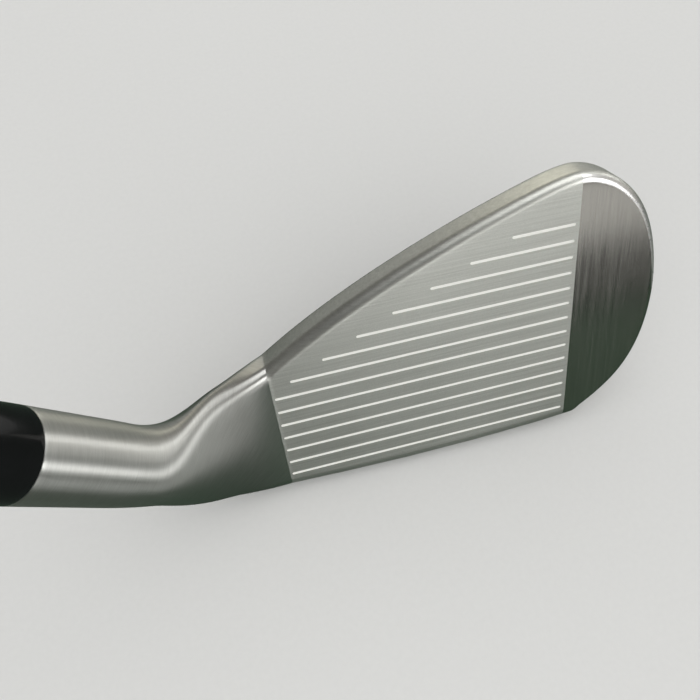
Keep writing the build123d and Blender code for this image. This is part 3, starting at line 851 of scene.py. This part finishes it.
def cavity_loop(inset):
    """The outline of the cavity's floor on the face plane, moved in by this much."""
    floor, heel_x = 19.5 + inset, 14.0 + inset
    drop = 5.0 + inset
    top = clamped_spline(
        [(heel_x, 28.0 - inset / 2), (33.2, 44.1 - drop), (55.7, 52.4 - drop), (64.0, 48.6 - inset)],
        (0.8, 0.6), (1, 0), 70,
    )
    toe = clamped_spline(
        [(64.0, 48.6 - inset), (80.3 - drop, 36.8), (81.2 - drop - 3.0, floor)], (1, 0), (-0.35, -1), 50
    )
    base = np.stack([np.linspace(toe[-1, 0], heel_x, 60)[1:], np.full(59, floor)], 1)
    heel = np.stack([np.full(9, heel_x), np.linspace(floor, 28.0 - inset / 2, 10)[1:]], 1)
    return np.concatenate([top[:-1], toe, base, heel])[:-1]


cut_verts, cut_faces, cut_slots = [], [], []
CUT_MATERIALS = (GROOVE_PAINTED_HIGHLIGHT, BACK)
CUT_GROOVE, CUT_BACK = 0, 1


def add_cut(rings, slot):
    """Adds a closed solid to the cutter, with its faces in this material slot."""
    verts, quads = stack_rings(rings)
    start = len(cut_verts)
    cut_verts.extend(verts)
    cut_faces.extend([tuple(start + i for i in q) for q in quads])
    cut_slots.extend([slot] * len(quads))


SCORE_LINES, FULL_LINES, LOWEST_LINE, LINE_PITCH = 14, 7, 3.47, 3.21
# A score line's cut, as (depth behind the face, half its width there).
SCORE_SECTION = [(-0.5, 0.29), (0.0, 0.275), (0.06, 0.26), (0.24, 0.23), (0.35, 0.18), (0.40, 0.09)]
for i in range(SCORE_LINES):
    # Above the full lines, each one is shorter than the one below.
    above = i - FULL_LINES
    length = 57.4 if above < 0 else 54.0 - 6.33 * above - 0.125 * above**2
    v = LOWEST_LINE + LINE_PITCH * i
    slot_rings = [slot_ring(TOE_MARK_X - length, TOE_MARK_X, v, half, b) for b, half in SCORE_SECTION]
    add_cut(slot_rings, CUT_GROOVE)


def grown_rings(loop, levels):
    """The rings of a loop on the face plane, for each (depth behind the face, how far it is moved out)."""
    return [[on_face(x, v, b) for x, v in offset_loop(loop, grow)] for b, grow in levels]


# The cavity, from the fillet round its floor to its flared mouth.
levels = [(3.0, -0.55), (3.12, -0.25), (3.35, -0.06), (3.7, 0.0), (5.1, 0.0), (5.45, 0.12), (9.0, 3.2)]
add_cut(grown_rings(cavity_loop(0.0), levels), CUT_BACK)

# The weight plug sits square to the bar's sloping back, between these two (y, z) corners of it.
BAR_LOW, BAR_HIGH = (17.0, 5.0), (13.636, 12.513)
OUT_Y, OUT_Z = 0.9127, 0.4087
WEIGHT_OUT = Vector((0, OUT_Y, OUT_Z))
WEIGHT_UP = Vector((0, -OUT_Z, OUT_Y))
WEIGHT_AT = Vector((64.0, (BAR_LOW[0] + BAR_HIGH[0]) / 2, (BAR_LOW[1] + BAR_HIGH[1]) / 2))
ROUND_POINTS = 48  # the points of a ring of the weight


def weight_point(radius, angle, out):
    """A point in the weight's frame: out is how far it stands proud of the bar's back."""
    return tuple(
        WEIGHT_AT
        + Vector((1, 0, 0)) * radius * math.cos(angle)
        + WEIGHT_UP * radius * math.sin(angle)
        + WEIGHT_OUT * out
    )


def weight_ring(radius, out):
    return [weight_point(radius, 2 * math.pi * k / ROUND_POINTS, out) for k in range(ROUND_POINTS)]


pocket = [(3.65, -6.0), (3.65, -0.35), (4.0, 0.0), (5.4, 1.4)]
add_cut([weight_ring(radius, out) for radius, out in pocket], CUT_BACK)
cutter = make_object("head_cutter", cut_verts, cut_faces, None, cut_slots, CUT_MATERIALS)


def make_outward(obj):
    """Welds points that lie within 2 micrometres and turns every face of a closed mesh outwards."""
    bm = bmesh.new()
    bm.from_mesh(obj.data)
    bmesh.ops.remove_doubles(bm, verts=bm.verts, dist=2e-6)
    bmesh.ops.recalc_face_normals(bm, faces=bm.faces)
    bm.to_mesh(obj.data)
    bm.free()


make_outward(cutter)
make_outward(head)
cut = head.modifiers.new("cuts", "BOOLEAN")
cut.operation = "DIFFERENCE"
cut.solver = "EXACT"
cut.use_self = True
cut.object = cutter
cut.material_mode = "TRANSFER"
bpy.context.view_layer.update()
shaped = bpy.data.meshes.new_from_object(head.evaluated_get(bpy.context.evaluated_depsgraph_get()))
head.modifiers.clear()
head.data = shaped
bpy.data.objects.remove(cutter)
shaped.shade_smooth()
shaped.set_sharp_from_angle(angle=math.radians(32.0))
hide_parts("head_body")
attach(head, "root")

# ---------------------------------------------------------------- trim of the head
# The badge has a rounded edge, a raised border and a sunk field.
border = [(3.2, 0.0), (3.78, 0.0), (3.93, -0.07), (4.0, -0.25)]
field = [(4.0, -1.9), (3.93, -2.0), (3.72, -2.05), (3.66, -2.15)]
verts, quads = stack_rings(grown_rings(cavity_loop(1.2), border + field))


def bar(x, lean, width, low, high):
    """A raised slanting bar on the badge: a plain geometric ornament."""
    rings = []
    for b, grow in ((3.6, 0.0), (3.88, 0.0), (3.98, -0.12)):
        w = width / 2 + grow
        foot, head_v = low - grow, high + grow
        corners_2d = [(x - w, foot), (x + w, foot), (x + w + lean, head_v), (x - w + lean, head_v)]
        rings.append([on_face(u, v, b) for u, v in corners_2d])
    return stack_rings(rings)


for k in range(3):
    bar_verts, bar_quads = bar(44.0 + 5.2 * k, 6.5, 2.6, 25.0, 38.5 + 0.4 * k)
    start = len(verts)
    verts += bar_verts
    quads += [tuple(start + i for i in q) for q in bar_quads]
badge = make_object("badge_plate", verts, quads, None, None, (BADGE,), 30.0)
make_outward(badge)
badge.data.set_sharp_from_angle(angle=math.radians(30.0))
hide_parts("cavity_badge")
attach(badge, "root")


def hex_ring(radius, out):
    """A six-sided ring for the socket."""
    points = []
    for k in range(ROUND_POINTS):
        a = 2 * math.pi * k / ROUND_POINTS
        r = radius * math.cos(math.pi / 6) / math.cos((a % (math.pi / 3)) - math.pi / 6)
        points.append(weight_point(r, a, out))
    return points


# The plug's side, its bevel and the ring groove on its face, as (radius, height), then its socket.
plug = [(3.58, -6.0), (3.58, -0.4), (3.5, -0.22), (3.3, -0.16), (3.0, -0.16), (2.9, -0.26), (2.2, -0.26)]
socket = [(1.75, -0.3), (1.6, -0.5), (1.6, -2.6)]
rings = [weight_ring(radius, out) for radius, out in plug] + [hex_ring(radius, out) for radius, out in socket]
verts, quads = stack_rings(rings)
weight = make_object("toe_weight_plug", verts, quads, None, None, (DENSE,), 30.0)
make_outward(weight)
weight.data.set_sharp_from_angle(angle=math.radians(30.0))
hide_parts("toe_weight")
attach(weight, "root")

# ---------------------------------------------------------------- ferrule, shaft and label
SEGMENTS = 128  # round a turned piece
SIDE_POINTS = 40
side = clamped_spline([(HOSEL_RADIUS, HOSEL_TOP), (5.35, FERRULE_TOP - 0.4)], (0, 1), (-0.08, 1), SIDE_POINTS)
profile = [(TIP_RADIUS, HOSEL_TOP + 0.02), (6.38, HOSEL_TOP + 0.02), (6.47, HOSEL_TOP + 0.07)]
profile += [(r, h + 0.15 * (1 - k / (SIDE_POINTS - 1))) for k, (r, h) in enumerate(side.tolist())]
profile += [(5.28, FERRULE_TOP - 0.12), (5.1, FERRULE_TOP - 0.01), (TIP_RADIUS, FERRULE_TOP)]
ferrule = lathe("ferrule_collar", profile, SEGMENTS, (GLOSS,))
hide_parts("ferrule")
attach(ferrule, "root")

STEPS, FIRST_STEP, STEP_PITCH = 13, 230.0, 33.0


def shaft_radius(step):
    return TIP_RADIUS + (BUTT_RADIUS - TIP_RADIUS) * step / STEPS


profile = [(4.4, SHAFT_BOTTOM), (TIP_RADIUS, SHAFT_BOTTOM + 0.3)]
for step in range(STEPS):
    height = FIRST_STEP + STEP_PITCH * step
    r0, r1 = shaft_radius(step), shaft_radius(step + 1)
    grow = r1 - r0
    if step:
        profile.append((r0, height - 16.0))
    profile += [(r0, height - 0.25), (r0 + 0.15 * grow, height + 0.15), (r0 + 0.5 * grow, height + 0.6)]
    profile += [(r1 - 0.15 * grow, height + 1.05), (r1, height + 1.45)]
profile += [(BUTT_RADIUS, CAP_SEAM), (7.24, CAP_SEAM), (3.95, SHAFT_BOTTOM)]
shaft = lathe("stepped_shaft", profile, SEGMENTS, (CHROME,), sharp=24.0)
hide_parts("shaft")
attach(shaft, "root")

band_top = BAND_LOW + BAND_LENGTH
profile = [(BUTT_RADIUS, BAND_LOW), (7.7, BAND_LOW), (7.74, BAND_LOW + 0.06)]
profile += [(7.74, band_top - 0.06), (7.7, band_top), (BUTT_RADIUS, band_top)]
label = lathe("shaft_band", profile, SEGMENTS, (FILM,))
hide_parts("shaft_label")
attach(label, "root")

# ---------------------------------------------------------------- grip
# The grip tapers from its rounded mouth to a waist, and flares from there to its butt.
WAIST_R, WAIST_H, BUTT_R, MOUTH_R, MOUTH_ROUND = 11.9, CAP_SEAM - 40.0, 13.1, 8.9, 1.2
taper = np.array([WAIST_R - MOUTH_R, WAIST_H - GRIP_MOUTH - MOUTH_ROUND])
flare = clamped_spline([(WAIST_R, WAIST_H), (BUTT_R, CAP_SEAM)], taper, (0.02, 1), 60)


def grip_radius(h):
    """The sleeve's outer radius at this height, without its pattern."""
    if h < GRIP_MOUTH + MOUTH_ROUND:
        t = (h - GRIP_MOUTH) / MOUTH_ROUND
        return MOUTH_R - MOUTH_ROUND + MOUTH_ROUND * math.sqrt(max(1 - (1 - t) ** 2, 0.0))
    if h < WAIST_H:
        return MOUTH_R + (WAIST_R - MOUTH_R) * (h - GRIP_MOUTH - MOUTH_ROUND) / taper[1]
    return float(np.interp(h, flare[:, 1], flare[:, 0]))


def groove_wave(x, width):
    """1 at the middle of a groove at every whole number, 0 outside its width."""
    d = abs(x - round(x))
    return max(0.0, 1 - (d / width) ** 2)


PATTERN_LOW, PATTERN_HIGH = GRIP_MOUTH + 22.0, CAP_SEAM - 26.0
RING_GROOVES = [GRIP_MOUTH + h for h in (6.0, 10.0, 14.0)] + [CAP_SEAM - h for h in (6.0, 9.5, 13.0)]
RING_DEPTH, RING_HALF = 0.35, 0.75
TURNS, CROSS_PITCH, CROSS_DEPTH, CROSS_HALF = 12, 7.4, 0.32, 0.16


def grip_surface(i, r, h, a):
    """The sleeve's outer radius: crossed helical grooves, and plain rings at each end."""
    if i >= OUTER_ROWS:
        return r
    depth = 0.0
    for g in RING_GROOVES:
        depth = max(depth, RING_DEPTH * max(0.0, 1 - (abs(h - g) / RING_HALF) ** 2))
    inside = ease((h - PATTERN_LOW) / 2.0) * ease((PATTERN_HIGH - h) / 2.0)
    if inside > 0:
        turn = a / (2 * math.pi) * TURNS
        lift = (h - PATTERN_LOW) / CROSS_PITCH
        cross = max(groove_wave(turn + lift, CROSS_HALF), groove_wave(turn - lift, CROSS_HALF))
        depth = max(depth, CROSS_DEPTH * cross * float(inside))
    return r - depth


heights = list(np.linspace(GRIP_MOUTH, GRIP_MOUTH + MOUTH_ROUND, 7)[:-1])
heights += list(np.linspace(GRIP_MOUTH + MOUTH_ROUND, CAP_SEAM, 420))
OUTER_ROWS = len(heights)
profile = [(grip_radius(h), h) for h in heights]
profile += [(7.87, CAP_SEAM), (BUTT_RADIUS, GRIP_MOUTH + 8.0), (BUTT_RADIUS, GRIP_MOUTH)]
sleeve = lathe("grip_rubber_sleeve", profile, 144, (RUBBER,), sharp=50.0, radius_of=grip_surface)
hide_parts("grip_sleeve")
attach(sleeve, "root")

# The cap, over its rounded rim, its painted ring groove and its crowned middle, to the vent.
profile = [(1.5, CAP_SEAM), (BUTT_R, CAP_SEAM)]
for t in np.linspace(0, math.pi / 2, 9):
    profile.append((BUTT_R - 2.0 + 2.0 * math.cos(t), CLUB_LENGTH - 2.6 + 1.8 * math.sin(t)))
below_end = [(9.6, 0.72), (9.3, 1.0), (8.3, 1.0), (8.0, 0.55), (6.0, 0.3), (3.4, 0.1)]
below_end += [(3.1, 0.35), (2.4, 0.35), (2.1, 0.05), (1.7, 0.02), (1.5, 0.2)]
profile += [(r, CLUB_LENGTH - drop) for r, drop in below_end]


def cap_slot(i, a, b):
    """The bottom of the ring groove on the cap is filled with paint."""
    return 1 if a[0] < 9.4 and b[0] > 8.2 and abs(a[1] - b[1]) < 0.01 else 0


cap = lathe("grip_end_cap", profile, SEGMENTS, (RUBBER, ACCENT), sharp=28.0, slot_of=cap_slot)
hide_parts("grip_cap")
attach(cap, "root")

kept_nodes = {"badge_adhesive": GLUE, "hosel_epoxy": GLUE, "tip_weight": DENSE, "grip_tape": TAPE}
for node, material in kept_nodes.items():
    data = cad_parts[node].data
    data.materials.clear()
    data.materials.append(material)

# ---------------------------------------------------------------- stage
FLOOR_Z = cad_box[0][2]
# All lengths from here on are in metres.
FLOOR_HALF, CARD_HALF = 30.0, 5.0
CARD_WEST, CARD_NORTH = -0.35, 0.14  # the card stops here, for the back's and the shaft's reflections
CARD_LIFT = 0.00002
CARD_FADE = (0.45, 0.95)  # the card gets darker between these distances from the origin


def plane(name, half, z, material, low_x, high_y):
    """A level square of this half size, cut off at low_x and high_y."""
    mesh = bpy.data.meshes.new(name)
    corners = [(low_x, -half, z), (half, -half, z), (half, high_y, z), (low_x, high_y, z)]
    mesh.from_pydata(corners, [], [(0, 1, 2, 3)])
    mesh.materials.append(material)
    obj = bpy.data.objects.new(name, mesh)
    bpy.context.scene.collection.objects.link(obj)
    return obj


floor_mat = Nodes("pale_floor")
speck = floor_mat.noise(floor_mat.place, 900.0, 3.0)
wide = floor_mat.noise(floor_mat.place, 3.0, 2.0)
tone = floor_mat.blend(speck, wide, 0.3)
floor_mat.set(Specular_IOR_Level=0.08)
floor_tone = floor_mat.range(tone, 0.35, 0.65, 0.0, 1.0)
floor_color = floor_mat.mix(floor_tone, (0.70, 0.70, 0.69), (0.74, 0.74, 0.73))
floor_finish = floor_mat.finish(floor_color, floor_mat.spread(speck, 0.7, 0.8))
plane("floor", FLOOR_HALF, FLOOR_Z, floor_finish, -FLOOR_HALF, FLOOR_HALF)

# A dark grey-green card lies on the floor, where only reflections see it. It gives the metal the contrast
# and a little of the colour that grass gives it, over a floor that stays pale.
CARD_NEAR, CARD_FAR = (0.050, 0.074, 0.054), (0.012, 0.013, 0.012)


def bare_tree(owner, place):
    """An empty node tree for something that only shines."""
    owner.use_nodes = True
    owner.node_tree.nodes.clear()
    return Tree(owner, place)


card_mat = bpy.data.materials.new("dark_card")
card_tree = bare_tree(card_mat, "Object")
away = card_tree.add("ShaderNodeVectorMath", operation="LENGTH")
card_tree.link(card_tree.place, away.inputs[0])
card_color = card_tree.ramp(away.outputs["Value"], list(zip(CARD_FADE, (CARD_NEAR, CARD_FAR))))
card_tree.shine(card_color, "ShaderNodeEmission", "ShaderNodeOutputMaterial")
card = plane("dark_card", CARD_HALF, FLOOR_Z + CARD_LIFT, card_mat, CARD_WEST, CARD_NORTH)
card.visible_camera = False
card.visible_diffuse = False
card.visible_shadow = False
card.visible_transmission = False

# Glossy rays see a dim studio, brightest low down behind the club and towards the toe. All other rays see an
# even pale dome.
BRIGHT_SIDE = (0.75, 0.66, 0.0)
DOME = (0.98, 0.98, 0.97)
WARM, EVEN = (1.0, 0.965, 0.88), (1.0, 1.0, 1.0)
world = bpy.data.worlds.new("studio")
bpy.context.scene.world = world
sky = bare_tree(world, "Generated")


def sky_ramp(direction, low, stops):
    """The sky's colour by how far a ray points in this direction, from (how far, level, tint) stops."""
    part = sky.range(sky.along(direction), low, 1.0, 0.0, 1.0)
    colors = [tuple(level * c for c in tint) for _, level, tint in stops]
    return sky.ramp(part, [((at - low) / (1 - low), color) for (at, _, _), color in zip(stops, colors)])


rise = sky_ramp(
    (0, 0, 1), -0.2,
    [(-0.2, 0.015, WARM), (0.04, 0.015, WARM), (0.09, 0.32, WARM), (0.2, 0.50, WARM), (0.5, 0.40, WARM),
     (0.8, 0.22, EVEN), (1.0, 0.18, EVEN)],
)
side = sky_ramp(
    BRIGHT_SIDE, -1.0, [(-1.0, 0.22, EVEN), (0.3, 0.25, EVEN), (0.75, 1.0, EVEN), (1.0, 1.0, EVEN)]
)
studio = sky.mix(1.0, rise, side, "MULTIPLY")
is_glossy = sky.add("ShaderNodeLightPath").outputs["Is Glossy Ray"]
sky.shine(sky.mix(is_glossy, DOME, studio), "ShaderNodeBackground", "ShaderNodeOutputWorld")

LIGHT_AIM, LIGHT_DISTANCE = Vector((0.02, 0.01, 0.02)), 1.8


def softbox(name, direction, width, length, radiance, tint=(1, 1, 1)):
    """A soft area light that hangs in this direction and faces the head, its length level with X. Only
    reflections see it, and the dome lights the rest."""
    light = bpy.data.lights.new(name, "AREA")
    light.shape = "RECTANGLE"
    light.size = length
    light.size_y = width
    light.energy = radiance * math.pi * width * length
    light.color = tint
    obj = bpy.data.objects.new(name, light)
    z = Vector(direction).normalized()
    x = (Vector((1, 0, 0)) - z * z.x).normalized()
    facing = Matrix((x, z.cross(x), z)).transposed().to_4x4()
    obj.matrix_world = Matrix.Translation(LIGHT_AIM + z * LIGHT_DISTANCE) @ facing
    obj.visible_camera = False
    obj.visible_diffuse = False
    bpy.context.scene.collection.objects.link(obj)


softbox("front_box", (0.17, -0.95, 0.25), 0.62, 0.85, 2.1)
softbox("hosel_front_box", (0.60, -0.59, 0.46), 0.55, 0.40, 16.0)
softbox("hosel_back_box", (0.86, 0.33, 0.30), 0.45, 0.40, 4.6)
softbox("toe_box", (0.52, -0.85, 0.112), 0.20, 0.62, 0.48)
softbox("back_box", (0.22, 0.96, 0.15), 0.42, 0.72, 2.2, (1.0, 0.96, 0.80))
softbox("top_box", (0.30, 0.12, 0.94), 1.30, 1.5, 2.7)

# ---------------------------------------------------------------- camera
# The photo's angle: the camera's own directions and its place.
RIGHT = (0.96733, -0.25198, 0.02786)
UP = (0.22445, 0.90233, 0.36799)
FORWARD = (0.11787, 0.34971, -0.92941)
CAMERA_AT = (0.006930, -0.028640, 0.138263)
lens = bpy.data.cameras.new("camera")
lens.lens = 34.152
lens.sensor_width = 36.0
lens.clip_start = 0.004
lens.clip_end = 100.0
camera = bpy.data.objects.new("camera", lens)
camera_turn = Matrix((RIGHT, UP, tuple(-c for c in FORWARD))).transposed()
camera.matrix_world = Matrix.Translation(CAMERA_AT) @ camera_turn.to_4x4()
bpy.context.scene.collection.objects.link(camera)
bpy.context.scene.camera = camera
bpy.context.scene.view_settings.view_transform = "Standard"
